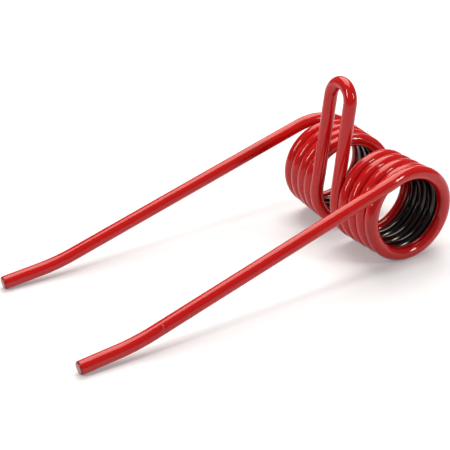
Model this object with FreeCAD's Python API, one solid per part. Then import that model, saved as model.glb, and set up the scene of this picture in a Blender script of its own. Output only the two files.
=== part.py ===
import FreeCAD, Part
import math
import os

# A pickup tine, bent from one length of round spring wire.
# The wire is folded at its middle into a narrow loop, the eye that a bolt
# clamps to the tine bar. Each side of the loop winds outwards into a close
# coil. The last part of each coil opens out into a long leg, which flattens
# near its end.
#
# Frame: the tine lies as it comes to rest, on its two coils and its two leg
# ends. X runs along the legs, which point to -X. Y runs along the bar that
# passes through the coils. Z is up. The origin is on the axis of the coils,
# midway between them. The left half (+Y) mirrors the right half (-Y).
# All lengths are in millimetres and all angles in degrees.

# Wire
wire_d = 5.5               # round spring wire, over its coating
end_round = 0.7            # edge radius on the two cut ends

# Coils
coil_mean_d = 35.0         # to the middle of the wire
turn_gap = 0.15            # daylight left between neighbouring turns
coil_passes = 5            # passes at the front of each coil, loop side included
coil_toe = 3.9             # each coil's axis swings to +X towards its outer end
coil_spacing = 12.2        # wire centres, between the inner ends of the coils
coil_arc = 45              # about how much of a turn is bent in one step
open_arc = 70              # the last part of the last turn, which opens out
open_mean_d = 44.0         # the diameter that this part is bent to

# Loop
loop_side = 33.6           # straight part of each side of the loop
loop_lean = 9.6            # the loop leans back from the legs by this much
loop_taper = 0.4           # each side of the loop leans inwards by this much
loop_foot_bend = 110.0     # bend radius where a side of the loop leaves its coil

# Legs
leg_run = 109.9            # straight part from the coil to the bend
leg_splay = 1.04           # each leg spreads outwards by this much
leg_root_bend = 40.0       # bend radius where a leg leaves its coil
leg_bend = 10.7            # the end of a leg is this much flatter
leg_bend_r = 80.0          # bend radius there
end_run = 16.2             # straight part beyond the bend

# Sizes that follow from those above
wire_r = wire_d / 2
coil_r = coil_mean_d / 2
climb = (wire_d + turn_gap) / (2 * math.pi)      # along the axis for each radian

ORIGIN = FreeCAD.Vector(0, 0, 0)
Y_AXIS = FreeCAD.Vector(0, 1, 0)
Z_AXIS = FreeCAD.Vector(0, 0, 1)
COIL_TURN = FreeCAD.Rotation(Z_AXIS, coil_toe)
COIL_FOOT = FreeCAD.Vector(0, -coil_spacing / 2, 0)


class Feed:
    """A straight stretch of the wire."""

    def __init__(self, way, length):
        self.travel = way * length

    def sleeve(self, ring):
        """The wire's surface over this stretch, from its ring, and the next ring."""
        skin = ring.extrude(self.travel)
        return skin, ring.translated(self.travel)


class Bend:
    """An arc of the wire that turns its heading from before to after."""

    def __init__(self, before, after, radius):
        self.turn = before.getAngle(after)
        self.axis = before.cross(after)
        self.to_centre = self.axis.cross(before)
        self.to_centre.normalize()
        self.to_centre = self.to_centre * radius
        self.travel = (before + after) * radius * math.tan(self.turn / 2)

    def sleeve(self, ring):
        """The wire's surface over this arc, from its ring, and the next ring."""
        centre = ring.Curve.Center + self.to_centre
        degrees = math.degrees(self.turn)
        skin = ring.revolve(centre, self.axis, degrees)
        return skin, ring.rotated(centre, self.axis, degrees)


def leg_heading(slope):
    """Unit vector along a leg away from its coil, falling by slope and spreading to -Y."""
    splay = math.radians(leg_splay)
    level = math.cos(slope)
    return FreeCAD.Vector(-level * math.cos(splay), -level * math.sin(splay), -math.sin(slope))


def loop_heading():
    """Unit vector up the right side of the loop."""
    lean = math.radians(loop_lean)
    taper = math.radians(loop_taper)
    return FreeCAD.Vector(
        math.sin(lean) * math.cos(taper), math.sin(taper), math.cos(lean) * math.cos(taper)
    )


def coil_first():
    """Angle about the coil, from +X towards +Z, where the side of the loop ends."""
    way = COIL_TURN.inverted().multVec(loop_heading())
    return math.pi - math.atan2(way.x, way.z)


def coil_last(slope):
    """Angle about the coil where the leg begins, with all turns counted."""
    way = COIL_TURN.inverted().multVec(leg_heading(slope))
    return math.pi / 2 + math.atan2(-way.z, -way.x) + 2 * math.pi * coil_passes


def coil_centre(angle):
    """Centre of the wire on the right coil."""
    out = climb * (angle - coil_first())
    in_coil = FreeCAD.Vector(coil_r * math.cos(angle), -out, coil_r * math.sin(angle))
    return COIL_TURN.multVec(in_coil) + COIL_FOOT


def follow_coil(first, last, radius, before=None):
    """Bends of one size along the coil, from one angle about it to another.

    Each bend joins the middles of two neighbouring sides of a helical polygon,
    so every bend starts on the coil's helix with the heading of the last one."""
    count = round(math.degrees(last - first) / coil_arc)
    step = (last - first) / count
    around = radius * math.tan(step / 2)
    along = climb * step / 2

    def heading(angle):
        way = FreeCAD.Vector(-around * math.sin(angle), -along, around * math.cos(angle))
        way.normalize()
        return COIL_TURN.multVec(way)

    headings = [heading(first + step * k) for k in range(count + 1)]
    bend_r = math.hypot(around, along) / math.tan(headings[0].getAngle(headings[1]) / 2)
    if before:
        headings[0] = before
    bends = [Bend(a, b, bend_r) for a, b in zip(headings, headings[1:])]
    return bends, headings[0], headings[-1]


def coil_bends(slope):
    """The right coil from the loop out to the leg, with its opened last part."""
    opens = coil_last(slope) - math.radians(open_arc)
    close, into_coil, way = follow_coil(coil_first(), opens, coil_r)
    wide, way, out_of_coil = follow_coil(opens, coil_last(slope), open_mean_d / 2, way)
    return close + wide, into_coil, out_of_coil


def right_half(slope):
    """The right half of the wire, from the top of the loop to the end of the leg."""
    up_side = loop_heading()
    leg_way = leg_heading(slope)
    end_way = leg_heading(slope - math.radians(leg_bend))
    bends, into_coil, out_of_coil = coil_bends(slope)
    foot = Bend(up_side * -1, into_coil, loop_foot_bend)
    side = Feed(up_side * -1, loop_side)
    side_top = coil_centre(coil_first()) - foot.travel - side.travel
    top_r = -side_top.y / math.cos(math.radians(loop_taper))
    top = Bend(Y_AXIS * -1, up_side * -1, top_r)
    root = Bend(out_of_coil, leg_way, leg_root_bend)
    leg = Feed(leg_way, leg_run)
    knee = Bend(leg_way, end_way, leg_bend_r)
    end = Feed(end_way, end_run)
    return side_top - top.travel, [top, side, foot] + bends + [root, leg, knee, end]


def leg_end(slope):
    """Centre of the wire at the cut end of the right leg."""
    point, steps = right_half(slope)
    for step in steps:
        point = point + step.travel
    return point


def rest_slope():
    """The slope of the legs at which their ends touch the ground with the coils.

    The coils touch it at the lowest point of every turn. The slope is found by
    halving the range that it must lie in."""
    ground = -coil_r - wire_r
    flat, steep = 0.0, math.radians(60)
    while steep - flat > 1e-9:
        slope = (flat + steep) / 2
        underside = wire_r * math.cos(slope - math.radians(leg_bend))
        if leg_end(slope).z - underside > ground:
            flat = slope
        else:
            steep = slope
    return flat


def skin_of_half(start, steps):
    """The surface of the right half of the wire, closed at its cut end."""
    ring = Part.Edge(Part.Circle(start, Y_AXIS, wire_r))
    skins = []
    for step in steps:
        skin, ring = step.sleeve(ring)
        skins.append(skin)
    return skins + [Part.Face(Part.Wire(ring))]


def tine(slope):
    """The whole wire as one solid, with the edges of its cut ends rounded."""
    right = skin_of_half(*right_half(slope))
    left = [skin.mirror(ORIGIN, Y_AXIS) for skin in right]
    shell = Part.Shell(right + left)
    shell.sewShape()
    wire = Part.Solid(shell)
    right_end = leg_end(slope)
    left_end = FreeCAD.Vector(right_end.x, -right_end.y, right_end.z)
    rims = [
        edge
        for edge in wire.Edges
        if isinstance(edge.Curve, Part.Circle)
        and min(edge.Curve.Center.distanceToPoint(p) for p in (right_end, left_end)) < end_round
    ]
    return wire.makeFillet(end_round, rims)


os.makedirs("parts", exist_ok=True)
tine(rest_slope()).exportStep("parts/tine_wire.step")
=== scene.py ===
import math

import bpy
from mathutils import Matrix, Vector


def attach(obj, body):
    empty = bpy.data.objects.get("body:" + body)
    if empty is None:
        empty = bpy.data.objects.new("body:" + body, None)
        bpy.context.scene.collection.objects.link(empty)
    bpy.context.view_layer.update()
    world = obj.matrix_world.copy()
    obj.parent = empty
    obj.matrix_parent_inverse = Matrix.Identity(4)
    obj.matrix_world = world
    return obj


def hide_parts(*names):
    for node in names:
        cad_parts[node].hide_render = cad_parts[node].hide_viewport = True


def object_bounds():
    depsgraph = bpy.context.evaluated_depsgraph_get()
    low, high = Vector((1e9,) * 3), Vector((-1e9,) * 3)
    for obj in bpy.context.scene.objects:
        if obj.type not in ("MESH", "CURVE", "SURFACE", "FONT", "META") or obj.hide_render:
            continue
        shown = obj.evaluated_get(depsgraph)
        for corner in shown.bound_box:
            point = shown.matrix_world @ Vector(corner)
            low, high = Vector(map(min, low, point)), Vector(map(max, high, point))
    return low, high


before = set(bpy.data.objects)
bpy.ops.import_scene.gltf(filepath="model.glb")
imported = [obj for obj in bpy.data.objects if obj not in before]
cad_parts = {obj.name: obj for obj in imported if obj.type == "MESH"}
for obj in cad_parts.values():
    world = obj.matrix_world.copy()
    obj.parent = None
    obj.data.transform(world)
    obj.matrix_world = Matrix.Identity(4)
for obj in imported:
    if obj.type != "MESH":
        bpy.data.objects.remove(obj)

cad_low, cad_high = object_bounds()
bpy.ops.object.select_all(action="DESELECT")


# The tine: one length of round spring steel wire, folded at its middle into the
# loop that a bolt clamps, wound outwards into a close coil on each side, and
# carried on as two legs. It is bent cold and then coated in gloss red.
MM = 0.001
full_turn = 2 * math.pi

wire_d = 5.5 * MM
end_round = 0.7 * MM

# The coils
coil_mean_d = 35.0 * MM
turn_gap = 0.15 * MM
coil_passes = 5                  # at the front of each coil, loop side included
coil_toe = math.radians(3.9)     # each axis swings to +X towards its outer end
coil_spacing = 12.2 * MM         # between the inner ends of the coils
coil_arc = math.radians(45)      # about how much is bent in one step
open_arc = math.radians(70)      # the last part, which opens out to open_mean_d
open_mean_d = 44.0 * MM

# The loop
loop_side = 33.6 * MM
loop_lean = math.radians(9.6)    # back from the legs
loop_taper = math.radians(0.4)   # each side leans inwards
loop_foot_bend = 110.0 * MM

# The legs
leg_run = 109.9 * MM
leg_slope = math.radians(16.192205)    # puts their ends on the ground with the coils
leg_splay = math.radians(1.04)
leg_root_bend = 40.0 * MM
leg_bend = math.radians(10.7)
leg_bend_r = 80.0 * MM
end_run = 16.2 * MM

# The mesh has rings of points round the wire. They stand closer along the part
# of the legs where the coating has blemishes.
ring_sides = 48
ring_spacing = 0.9 * MM
fine_spacing = 0.3 * MM
blemished_run = 17 * MM
end_round_steps = 5
cap_ring = 0.6 * MM
cap_rings = 3
merge_distance = 0.01 * MM

wire_r = wire_d / 2
coil_r = coil_mean_d / 2
climb = (wire_d + turn_gap) / full_turn
coil_turn = Matrix.Rotation(coil_toe, 3, "Z")
to_coil = coil_turn.inverted()
coil_foot = Vector((0, -coil_spacing / 2, 0))


def leg_heading(slope):
    """The way a leg runs from its coil."""
    level = math.cos(slope)
    return Vector((-level * math.cos(leg_splay), -level * math.sin(leg_splay), -math.sin(slope)))


outwards = Vector((0, -1, 0))
up_side = Vector((
    math.sin(loop_lean) * math.cos(loop_taper),
    math.sin(loop_taper),
    math.cos(loop_lean) * math.cos(loop_taper),
))
leg_way = leg_heading(leg_slope)
end_way = leg_heading(leg_slope - leg_bend)
side_in_coil = to_coil @ up_side
leg_in_coil = to_coil @ leg_way
coil_first = math.pi - math.atan2(side_in_coil.x, side_in_coil.z)
coil_last = math.pi / 2 + math.atan2(-leg_in_coil.z, -leg_in_coil.x) + full_turn * coil_passes


def coil_centre(angle):
    """Centre of the wire on the right coil."""
    out = climb * (angle - coil_first)
    return coil_turn @ Vector((coil_r * math.cos(angle), -out, coil_r * math.sin(angle))) + coil_foot


def follow_coil(first, last, radius):
    """The headings of short bends of one size along the coil, and their radius."""
    count = round((last - first) / coil_arc)
    step = (last - first) / count
    around = radius * math.tan(step / 2)
    along = climb * step / 2
    ways = []
    for k in range(count + 1):
        angle = first + step * k
        way = Vector((-around * math.sin(angle), -along, around * math.cos(angle)))
        ways.append((coil_turn @ way).normalized())
    return ways, math.hypot(around, along) / math.tan(ways[0].angle(ways[1]) / 2)


def bend_travel(before, after, radius):
    """How far the wire's centre moves over a bend."""
    return (before + after) * radius * math.tan(before.angle(after) / 2)


def feed(centre, way, length, spacing=ring_spacing):
    """Pushes the open end of the wire straight on."""
    count = max(1, round(length / spacing))
    for _ in range(count):
        bpy.ops.mesh.extrude_region_move(TRANSFORM_OT_translate={"value": way * (length / count)})
    return centre + way * length


def bend(centre, before, after, radius):
    """Bends the open end of the wire round from one heading to the next."""
    turn = before.angle(after)
    axis = before.cross(after).normalized()
    # Spin counts its angle the other way round its axis.
    bpy.ops.mesh.spin(
        steps=max(1, round(turn * radius / ring_spacing)),
        angle=-turn,
        center=centre + axis.cross(before) * radius,
        axis=axis,
    )
    return centre + bend_travel(before, after, radius)


close_ways, close_r = follow_coil(coil_first, coil_last - open_arc, coil_r)
open_ways, open_r = follow_coil(coil_last - open_arc, coil_last, open_mean_d / 2)
open_ways[0] = close_ways[-1]
side_top = (
    coil_centre(coil_first)
    - bend_travel(-up_side, close_ways[0], loop_foot_bend)
    + up_side * loop_side
)
top_bend = -side_top.y / math.cos(loop_taper)
loop_top = side_top - bend_travel(outwards, -up_side, top_bend)

# The right half is bent from the top of the loop to the end of its leg.
bpy.ops.mesh.primitive_circle_add(
    vertices=ring_sides, radius=wire_r, location=loop_top, rotation=(math.pi / 2, 0, 0)
)
tine = bpy.context.object
tine.name = "tine"
bpy.ops.object.transform_apply(location=True, rotation=True, scale=True)
bpy.ops.object.mode_set(mode="EDIT")
bpy.ops.mesh.select_all(action="SELECT")

end = bend(loop_top, outwards, -up_side, top_bend)
end = feed(end, -up_side, loop_side)
end = bend(end, -up_side, close_ways[0], loop_foot_bend)
for before, after in zip(close_ways, close_ways[1:]):
    end = bend(end, before, after, close_r)
for before, after in zip(open_ways, open_ways[1:]):
    end = bend(end, before, after, open_r)
leg_start = bend(end, open_ways[-1], leg_way, leg_root_bend)
end = feed(leg_start, leg_way, leg_run - blemished_run)
end = feed(end, leg_way, blemished_run, fine_spacing)
end = bend(end, leg_way, end_way, leg_bend_r)
tip = feed(end, end_way, end_run)

# Both ends of the wire are sheared square and tumbled, so the rim is round. The
# cap is the face with the most corners. Rings of points across it hold the tones
# of the bare steel and the darker rim.
bpy.ops.mesh.edge_face_add()
bpy.ops.mesh.bevel(offset=end_round, segments=end_round_steps, affect="EDGES")
bpy.ops.object.mode_set(mode="OBJECT")
cap = max(tine.data.polygons, key=lambda face: len(face.vertices))
for item in list(tine.data.vertices) + list(tine.data.edges) + list(tine.data.polygons):
    item.select = False
tine.data.polygons[cap.index].select = True
bpy.ops.object.mode_set(mode="EDIT")
bpy.ops.mesh.select_mode(type="FACE")
for _ in range(cap_rings):
    bpy.ops.mesh.inset(thickness=cap_ring)
bpy.ops.mesh.poke()
bpy.ops.object.mode_set(mode="OBJECT")

# The left half is a mirror image of the right one.
mirror = tine.modifiers.new("other_half", "MIRROR")
mirror.use_axis = (False, True, False)
mirror.merge_threshold = merge_distance
bpy.ops.object.modifier_apply(modifier=mirror.name)
bpy.ops.object.mode_set(mode="EDIT")
bpy.ops.mesh.select_all(action="SELECT")
bpy.ops.mesh.remove_doubles(threshold=merge_distance)
bpy.ops.mesh.normals_make_consistent(inside=False)
bpy.ops.object.mode_set(mode="OBJECT")
bpy.ops.object.shade_smooth()


def on_leg(along, side):
    """A spot on the right leg's skin, this far along it and on this side, and the way out."""
    out = (side - leg_way * side.dot(leg_way)).normalized()
    return leg_start + leg_way * along + out * wire_r, out


def pull(spot, shift, reach):
    """Moves the skin at one spot, and less and less around it."""
    nearest = min(tine.data.vertices, key=lambda vertex: (vertex.co - spot).length).index
    bpy.ops.object.mode_set(mode="EDIT")
    bpy.ops.mesh.select_mode(type="VERT")
    bpy.ops.mesh.select_all(action="DESELECT")
    bpy.ops.object.mode_set(mode="OBJECT")
    tine.data.vertices[nearest].select = True
    bpy.ops.object.mode_set(mode="EDIT")
    bpy.ops.transform.translate(
        value=shift,
        use_proportional_edit=True,
        proportional_edit_falloff="SMOOTH",
        proportional_size=reach,
    )
    bpy.ops.object.mode_set(mode="OBJECT")


def fade(distance, width):
    """Falls from 1 at no distance, and is nearly 0 at twice the width."""
    return math.exp(-((distance / width) ** 2))


def smooth(value, start, stop):
    """Rises from 0 to 1 as value goes from start to stop."""
    share = min(1.0, max(0.0, (value - start) / (stop - start)))
    return share * share * (3 - 2 * share)


# All the masks are added first, because each new one moves the values of the rest.
for name in ("chips_and_shade", "bare_and_shaded", "cut", "rim"):
    tine.data.attributes.new(name, "FLOAT", "POINT")

# The right leg's coating has one burst blister, with a faint ring of painted
# shade round its foot, and two small dark chips low on its outer side.
blister_along = 106.2 * MM
blister_side = Vector((0, -0.78, 0.62))
blister_reach = 0.95 * MM
blister_rise = 0.35 * MM
shade_line_r = 0.855 * MM
shade_line_width = 0.245 * MM
shade_line_tone = 0.3
chips_along = (95.1 * MM, 105.5 * MM)
chip_side = Vector((0.1, -0.9, -0.42))
chip_reach = 0.8 * MM
chip_width = 0.566 * MM
chip_depth = 0.2 * MM

blister, blister_out = on_leg(blister_along, blister_side)
chips = [on_leg(along, chip_side) for along in chips_along]
# One mask holds the chips and the painted shade round the blister's foot.
for vertex, chips_and_shade_value in zip(tine.data.vertices, tine.data.attributes["chips_and_shade"].data):
    from_shade_line = (vertex.co - blister).length - shade_line_r
    from_chip = min((vertex.co - chip).length for chip, _ in chips)
    chips_and_shade_value.value = max(shade_line_tone * fade(from_shade_line, shade_line_width), fade(from_chip, chip_width))
pull(blister, blister_out * blister_rise, blister_reach)
for chip, chip_out in chips:
    pull(chip, -chip_out * chip_depth, chip_reach)

# How little coating reached each spot. The same mask paints the shade inside the
# coils. None reached deep inside the coils, where the turns hide the wire from the
# spray and from the light, but some did low down on the side of the legs, where
# the inside is painted lighter, as if lit from above. Depth counts radii of the
# wire inwards from its middle, and the rest count turns.
bare_and_shaded_depth = (0.0, 0.5)
bare_and_shaded_from_loop = (0.8, 1.0)
bare_and_shaded_from_leg = (0.92, 1.05)
spray_and_light_angle = math.radians(-135)    # low down, on the side of the legs
spray_and_light_focus = 4
spray_and_light_share = 0.5

# Each cut end has a face that shows the steel and a rim painted darker.
cut_depth = (0.0, 0.15 * MM)
rim_depth = (0.3 * MM, 0.9 * MM)
rim_radius = (wire_r - 1.3 * MM, wire_r - 0.7 * MM)

layers = [tine.data.attributes[name].data for name in ("bare_and_shaded", "cut", "rim")]
for vertex, bare_and_shaded_value, cut_value, rim_value in zip(tine.data.vertices, *layers):
    x, y, z = vertex.co
    on_right = Vector((x, -abs(y), z))
    across, out, height = to_coil @ (on_right - coil_foot)
    angle = math.atan2(height, across)
    turns = round((-out / climb + coil_first - angle) / full_turn)
    wound = angle + full_turn * turns
    from_loop = (wound - coil_first) / full_turn
    from_leg = (coil_last - wound) / full_turn
    depth = (coil_r - math.hypot(across, height)) / wire_r
    hidden = (
        smooth(depth, *bare_and_shaded_depth)
        * smooth(from_loop, *bare_and_shaded_from_loop)
        * smooth(from_leg, *bare_and_shaded_from_leg)
    )
    # Low down on the legs' side, the inside of the coils is painted lighter. Part of this is more
    # coating and part is painted light.
    sprayed_and_lit = spray_and_light_share * max(0.0, math.cos(angle - spray_and_light_angle)) ** spray_and_light_focus
    bare_and_shaded_value.value = hidden * (1.0 - sprayed_and_lit)
    inward = tip - on_right
    from_tip = inward.dot(end_way)
    from_middle = (inward - end_way * from_tip).length
    cut_value.value = 1.0 - smooth(from_tip, *cut_depth)
    rim_value.value = (1.0 - smooth(from_tip, *rim_depth)) * smooth(from_middle, *rim_radius)


def linear(code):
    """The linear colour of an sRGB hex value."""
    parts = [int(code[i:i + 2], 16) / 255 for i in (1, 3, 5)]
    return [c / 12.92 if c <= 0.04045 else ((c + 0.055) / 1.055) ** 2.4 for c in parts] + [1.0]


def add(tree, kind, settings=(), **inputs):
    """Adds a node with its settings, and gives each input a value or a link.

    An input goes by its name, with _ for each space, or by _ and its number."""
    node = tree.nodes.new(kind)
    for name, value in dict(settings).items():
        setattr(node, name, value)
    for name, value in inputs.items():
        key = int(name[1:]) if name[0] == "_" and name[1:].isdigit() else name.replace("_", " ")
        if isinstance(value, bpy.types.NodeSocket):
            tree.links.new(value, node.inputs[key])
        else:
            node.inputs[key].default_value = value
    return node


# Gloss red enamel over spring steel. It flows out smooth when it is baked, so
# lights show in it with clear edges. It thins to dark maroon inside the coils and
# then leaves the steel bare, which is duller. These dark tones are also painted
# shade for the inside of the coils.
deep_red, full_red = "#AC0809", "#B60C0D"
thin_and_shaded_red = "#3C060A"
bare_steel_and_shade = "#100908"
chip_and_shade_red = "#3A0606"
# The chip tone also paints the shade round the blister's foot.
sheared_steel = "#A8605A"
# The rim of each cut end is painted darker.
dark_rim_red = "#4A1512"
enamel_rough, bare_rough, sheared_rough = 0.1, 0.16, 0.35
enamel_ior = 1.45
blotch_size = 18 * MM
sheared_share = 0.85
dark_rim_share = 0.65

# Where the coating starts to thin, where it starts to be missing and where it is
# gone. The painted shade deepens with it. Spatter makes its edge ragged. Real
# droplets are finer, but would not show.
thin_and_shaded_from, bare_and_shaded_from, bare_and_shaded_by = 0.25, 0.75, 1.05
spatter_size = 1.2 * MM
spatter_share = 0.2

enamel = bpy.data.materials.new("gloss_red_enamel_on_spring_steel")
enamel.use_nodes = True
tree = enamel.node_tree
tree.nodes.clear()
place = add(tree, "ShaderNodeTexCoord").outputs["Object"]
bare_and_shaded_there, cut_there, chips_and_shade_there, rim_there = (
    add(tree, "ShaderNodeAttribute", {"attribute_name": name}).outputs["Fac"]
    for name in ("bare_and_shaded", "cut", "chips_and_shade", "rim")
)
blotch, spatter = (
    add(tree, "ShaderNodeTexNoise", Vector=place, Scale=1 / size, Detail=detail).outputs["Fac"]
    for size, detail in ((blotch_size, 3.0), (spatter_size, 2.0))
)
ragged = add(
    tree, "ShaderNodeMath", {"operation": "MULTIPLY_ADD"}, _0=spatter, _1=spatter_share, _2=bare_and_shaded_there
).outputs[0]
thin_and_shaded, missing_and_shaded = (
    add(
        tree, "ShaderNodeMapRange", {"interpolation_type": "SMOOTHSTEP"},
        Value=ragged, From_Min=start, From_Max=stop,
    ).outputs[0]
    for start, stop in ((thin_and_shaded_from, bare_and_shaded_from), (bare_and_shaded_from, bare_and_shaded_by))
)
sheared, dark_rim = (
    add(tree, "ShaderNodeMath", {"operation": "MULTIPLY"}, _0=there, _1=share).outputs[0]
    for there, share in ((cut_there, sheared_share), (rim_there, dark_rim_share))
)

# Each tone covers the ones before it, as far as its share says.
# The thin and bare tones also paint the shade inside the coils.
colour = linear(deep_red)
for share, tone in (
    (blotch, full_red),
    (thin_and_shaded, thin_and_shaded_red),
    (missing_and_shaded, bare_steel_and_shade),
    (chips_and_shade_there, chip_and_shade_red),
    (sheared, sheared_steel),
    (dark_rim, dark_rim_red),
):
    colour = add(
        tree, "ShaderNodeMix", {"data_type": "RGBA"}, _0=share, _6=colour, _7=linear(tone)
    ).outputs[2]
rough = enamel_rough
for share, amount in ((missing_and_shaded, bare_rough), (cut_there, sheared_rough)):
    rough = add(
        tree, "ShaderNodeMix", {"data_type": "FLOAT"}, _0=share, _2=rough, _3=amount
    ).outputs[0]
surface = add(tree, "ShaderNodeBsdfPrincipled", Base_Color=colour, Roughness=rough, IOR=enamel_ior)
add(tree, "ShaderNodeOutputMaterial", Surface=surface.outputs[0])
tine.data.materials.append(enamel)

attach(tine, "root")
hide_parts("tine_wire")


# The floor: a wide sheet of white paper without a seam, on which the tine rests.
# Some of its brightness is its own, and only the camera and reflections see it,
# so it shows near white while the underside of the tine stays in shade.
floor_width = 6.0
paper_tone = "#D4D8E0"
white = (1, 1, 1, 1)
floor_glow = 0.16

bpy.ops.mesh.primitive_plane_add(size=floor_width, location=(0, 0, cad_low.z))
floor = bpy.context.object
floor.name = "floor"
paper = bpy.data.materials.new("white_seamless_paper")
paper.use_nodes = True
tree = paper.node_tree
tree.nodes.clear()
path = add(tree, "ShaderNodeLightPath")
seen = path.outputs["Is Camera Ray"]
for ray in ("Is Glossy Ray", "Is Transmission Ray"):
    seen = add(
        tree, "ShaderNodeMath", {"operation": "MAXIMUM"}, _0=seen, _1=path.outputs[ray]
    ).outputs[0]
glow = add(tree, "ShaderNodeMath", {"operation": "MULTIPLY"}, _0=seen, _1=floor_glow)
lit = add(tree, "ShaderNodeBsdfDiffuse", Color=linear(paper_tone))
shown = add(tree, "ShaderNodeEmission", Color=white, Strength=glow.outputs[0])
both = add(tree, "ShaderNodeAddShader", _0=lit.outputs[0], _1=shown.outputs[0])
add(tree, "ShaderNodeOutputMaterial", Surface=both.outputs[0])
floor.data.materials.append(paper)


# The studio: a grey room with a wide softbox overhead and a tall, narrow one on
# each side of the camera. The narrow ones draw the bright streaks on the coils,
# and the wide one draws the bands along the legs. Their light is slightly warm.
room_light = 0.25
warm_white = (1.0, 0.93, 0.82)
side_distance = 1.0

room = bpy.data.worlds.new("grey_room")
bpy.context.scene.world = room
room.use_nodes = True
tree = room.node_tree
tree.nodes.clear()
walls = add(tree, "ShaderNodeBackground", Color=white, Strength=room_light)
add(tree, "ShaderNodeOutputWorld", Surface=walls.outputs[0])


def way_to(azimuth, elevation):
    """Unit vector at this azimuth from -Y towards +X, and elevation, in degrees."""
    turn, rise = math.radians(azimuth), math.radians(elevation)
    return Vector((math.sin(turn) * math.cos(rise), -math.cos(turn) * math.cos(rise), math.sin(rise)))


def softbox(name, centre, aim, width, height, radiance):
    """A flat, evenly lit panel at centre that faces aim."""
    lamp = bpy.data.lights.new(name, "AREA")
    lamp.shape = "RECTANGLE"
    lamp.size = width
    lamp.size_y = height
    lamp.color = warm_white
    lamp.energy = radiance * math.pi * width * height
    panel = bpy.data.objects.new(name, lamp)
    bpy.context.scene.collection.objects.link(panel)
    panel.location = centre
    panel.rotation_euler = (Vector(aim) - Vector(centre)).to_track_quat("-Z", "Y").to_euler()


softbox("overhead", centre=(0.2, 0.36, 0.8), aim=(0, 0.1, 0), width=0.8, height=1.1, radiance=4.6)
for name, centre, width, height in (
    ("left", way_to(-84, 33) * side_distance, 0.14, 0.48),
    ("right", way_to(31, 28) * side_distance, 0.16, 0.34),
):
    softbox(name, centre, aim=(0, 0, 0), width=width, height=height, radiance=20.0)


# The camera: it stands where the photograph's did, about 0.6 m away. Its place
# and its focal length come from fitting the wire's outline to the photograph's.
azimuth = -28.491
elevation = 27.345
roll = math.radians(-2.36)
distance = 580.92 * MM
shift_right = 56.994 * MM
shift_up = 15.82 * MM
focal_px = 1391.372
frame_px = 450
sensor_width = 36

back = way_to(azimuth, elevation)
level = Vector((math.cos(math.radians(azimuth)), math.sin(math.radians(azimuth)), 0))
upright = back.cross(level)
right = level * math.cos(roll) + upright * math.sin(roll)
up = upright * math.cos(roll) - level * math.sin(roll)
stand = back * distance - right * shift_right - up * shift_up

lens = bpy.data.cameras.new("camera")
lens.sensor_width = sensor_width
lens.lens = focal_px / frame_px * sensor_width
lens.clip_start = 10 * MM
camera = bpy.data.objects.new("camera", lens)
bpy.context.scene.collection.objects.link(camera)
camera.matrix_world = Matrix.Translation(stand) @ Matrix((right, up, back)).transposed().to_4x4()
bpy.context.scene.camera = camera
bpy.context.scene.view_settings.view_transform = "Standard"

bpy.context.view_layer.update()
